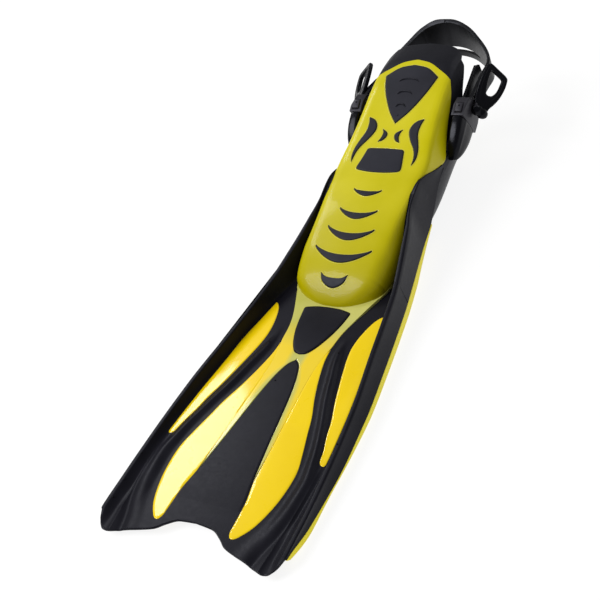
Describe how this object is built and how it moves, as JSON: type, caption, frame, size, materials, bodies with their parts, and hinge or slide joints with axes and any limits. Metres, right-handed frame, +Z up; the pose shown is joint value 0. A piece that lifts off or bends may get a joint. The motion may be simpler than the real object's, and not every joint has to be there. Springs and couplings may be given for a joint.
{
  "type": "adjustable open-heel diving fin",
  "caption": "Open-heel diving fin with an inlaid ribbed blade, a foot pocket, swivelling quick-release buckles, sprung levers and an adjustable heel strap.",
  "frame": {"origin": "on the floor under the middle of the fin's bounding box", "axes": "+Z up, +Y from the blade tip towards the heel strap, X across the blade"},
  "size_m": [0.2212, 0.6872, 0.1289],
  "materials": {
    "blade_black": "satin",
    "inlay_yellow": "gloss",
    "pocket_yellow": "gloss",
    "pocket_black": "matt",
    "pad_black": "matt",
    "buckle_black": "satin",
    "strap_rubber": "satin",
    "pin_steel": "satin"
  },
  "bodies": {
    "fin": {"blade_frame": "blade_black", "centre_panel": "blade_black", "crescent_1": "pad_black", "crescent_2": "pad_black", "crescent_3": "pad_black", "crescent_4": "pad_black", "footbed": "pocket_black", "inner_inlay_L": "inlay_yellow", "inner_inlay_R": "inlay_yellow", "instep_shield": "pad_black", "large_flame_L": "pad_black", "large_flame_R": "pad_black", "mid_rib_L": "blade_black", "mid_rib_R": "blade_black", "name_plate": "pad_black", "neck_shield": "pad_black", "neck_yoke": "pocket_yellow", "outer_inlay_L": "inlay_yellow", "outer_inlay_R": "inlay_yellow", "pocket_base": "pocket_black", "pocket_cuff": "pocket_black", "pocket_upper": "pocket_yellow", "post_L": "buckle_black", "post_R": "buckle_black", "rail_stripe_L": "inlay_yellow", "rail_stripe_R": "inlay_yellow", "side_rail_L": "blade_black", "side_rail_R": "blade_black", "small_flame_L": "pad_black", "small_flame_R": "pad_black", "sole_tread": "pocket_black", "toe_smile": "pad_black"},
    "pod_R": {"pod_R": "buckle_black"},
    "pod_L": {"pod_L": "buckle_black"},
    "clip_R": {"clip_R": "buckle_black", "roller_R": "pin_steel", "strap_bend_R": "strap_rubber", "lever_axle_R": "pin_steel"},
    "clip_L": {"clip_L": "buckle_black", "roller_L": "pin_steel", "strap_bend_L": "strap_rubber", "lever_axle_L": "pin_steel"},
    "upper_button_R": {"upper_button_R": "buckle_black"},
    "upper_button_L": {"upper_button_L": "buckle_black"},
    "lower_button_R": {"lower_button_R": "buckle_black"},
    "lower_button_L": {"lower_button_L": "buckle_black"},
    "lever_R": {"lever_R": "buckle_black"},
    "lever_L": {"lever_L": "buckle_black"},
    "strap": {"heel_strap": "strap_rubber"},
    "tail_R": {"strap_tail_R": "strap_rubber"},
    "tail_L": {"strap_tail_L": "strap_rubber"}
  },
  "joints": [
    {"name": "strap_swing_R", "type": "hinge", "parent": "fin", "child": "pod_R", "pos_m": [0.066, 0.1899, 0.066], "axis": [1, 0, 0], "range_deg": [-25, 55]},
    {"name": "strap_swing_L", "type": "hinge", "parent": "fin", "child": "pod_L", "pos_m": [-0.066, 0.1899, 0.066], "axis": [1, 0, 0], "range_deg": [-25, 55]},
    {"name": "quick_release_R", "type": "slide", "parent": "pod_R", "child": "clip_R", "axis": [0, 0.9272, 0.3746], "range_m": [0, 0.012]},
    {"name": "upper_button_R", "type": "slide", "parent": "clip_R", "child": "upper_button_R", "axis": [0, 0.3746, -0.9272], "range_m": [0, 0.0012], "stiffness_N_per_m": 600},
    {"name": "lower_button_R", "type": "slide", "parent": "clip_R", "child": "lower_button_R", "axis": [0, -0.3746, 0.9272], "range_m": [0, 0.0012], "stiffness_N_per_m": 600},
    {"name": "lever_R", "type": "hinge", "parent": "clip_R", "child": "lever_R", "pos_m": [0.0796, 0.2349, 0.082], "axis": [0.5633, 0.2177, -0.7971], "range_deg": [0, 35], "stiffness_Nm_per_rad": 0.05, "springref_deg": -11.46},
    {"name": "quick_release_L", "type": "slide", "parent": "pod_L", "child": "clip_L", "axis": [0, 0.9272, 0.3746], "range_m": [0, 0.012]},
    {"name": "upper_button_L", "type": "slide", "parent": "clip_L", "child": "upper_button_L", "axis": [0, 0.3746, -0.9272], "range_m": [0, 0.0012], "stiffness_N_per_m": 600},
    {"name": "lower_button_L", "type": "slide", "parent": "clip_L", "child": "lower_button_L", "axis": [0, -0.3746, 0.9272], "range_m": [0, 0.0012], "stiffness_N_per_m": 600},
    {"name": "lever_L", "type": "hinge", "parent": "clip_L", "child": "lever_L", "pos_m": [-0.0796, 0.2349, 0.082], "axis": [0.5633, -0.2177, 0.7971], "range_deg": [0, 35], "stiffness_Nm_per_rad": 0.05, "springref_deg": -11.46},
    {"name": "strap_adjust", "type": "slide", "parent": "clip_R", "child": "strap", "axis": [0, 0.9848, 0.1736], "range_m": [0, 0.012]},
    {"name": "tail_R", "type": "slide", "parent": "clip_R", "child": "tail_R", "axis": [0.0847, -0.9813, -0.173], "range_m": [0, 0.012]},
    {"name": "tail_L", "type": "slide", "parent": "clip_L", "child": "tail_L", "axis": [-0.0847, -0.9813, -0.173], "range_m": [0, 0.012]}
  ],
  "couplings": [
    {"joint": "strap_swing_L", "follows": "strap_swing_R", "ratio": 1},
    {"joint": "quick_release_L", "follows": "quick_release_R", "ratio": 1},
    {"joint": "tail_R", "follows": "strap_adjust", "ratio": 1},
    {"joint": "tail_L", "follows": "strap_adjust", "ratio": 1}
  ]
}
